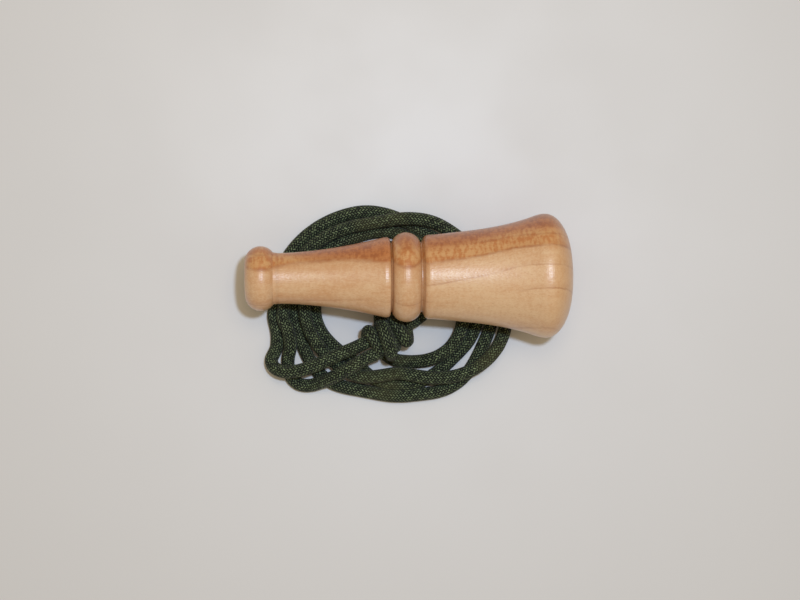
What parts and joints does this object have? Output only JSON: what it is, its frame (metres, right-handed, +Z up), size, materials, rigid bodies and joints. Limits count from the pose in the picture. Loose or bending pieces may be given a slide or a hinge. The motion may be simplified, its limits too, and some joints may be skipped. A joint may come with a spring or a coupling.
{
  "type": "bird call",
  "caption": "turned wooden bird call: a bead-ended mouthpiece plugged into a barrel with a flared bell, on its coiled braided lanyard",
  "frame": {"origin": "centre of the mouth opening, on the turning axis", "axes": "+X along the turning axis from the mouth to the bell, +Y to the left seen from the mouth, +Z up from the table that the call lies on"},
  "size_m": [0.1, 0.0618, 0.0394],
  "materials": {
    "mouthpiece": "reddish hardwood, turned and sealed with a clear gloss lacquer",
    "barrel": "reddish hardwood, turned and sealed with a clear gloss lacquer",
    "tenon_rings": "black rubber, smooth",
    "reed_block": "pale hardwood, turned, unfinished",
    "tone_trough": "drawn brass, satin",
    "tongue": "rolled brass shim, bright",
    "wedge": "cork, cut",
    "screw_eye": "brass wire, bright",
    "lanyard_coil": "braided polyester cord, dark olive",
    "lanyard_lead_a": "braided polyester cord, dark olive",
    "lanyard_lead_b": "braided polyester cord, dark olive",
    "lanyard_bight": "braided polyester cord, dark olive",
    "lanyard_knot": "braided polyester cord, dark olive",
    "lanyard_tail": "braided polyester cord, dark olive"
  },
  "bodies": {
    "barrel": {"barrel": "barrel", "reed_block": "reed_block", "tone_trough": "tone_trough", "tongue": "tongue", "wedge": "wedge", "screw_eye": "screw_eye", "lanyard_coil": "lanyard_coil", "lanyard_lead_a": "lanyard_lead_a", "lanyard_lead_b": "lanyard_lead_b", "lanyard_bight": "lanyard_bight", "lanyard_knot": "lanyard_knot", "lanyard_tail": "lanyard_tail"},
    "seals": {"tenon_rings": "tenon_rings"},
    "mouthpiece": {"mouthpiece": "mouthpiece"}
  },
  "joints": [
    {"name": "seal_slide", "type": "slide", "parent": "barrel", "child": "seals", "axis": [-1, 0, 0], "range_m": [0, 0.03]},
    {"name": "mouthpiece_twist", "type": "hinge", "parent": "seals", "child": "mouthpiece", "pos_m": [0.045, 0, 0], "axis": [1, 0, 0], "continuous": true}
  ]
}
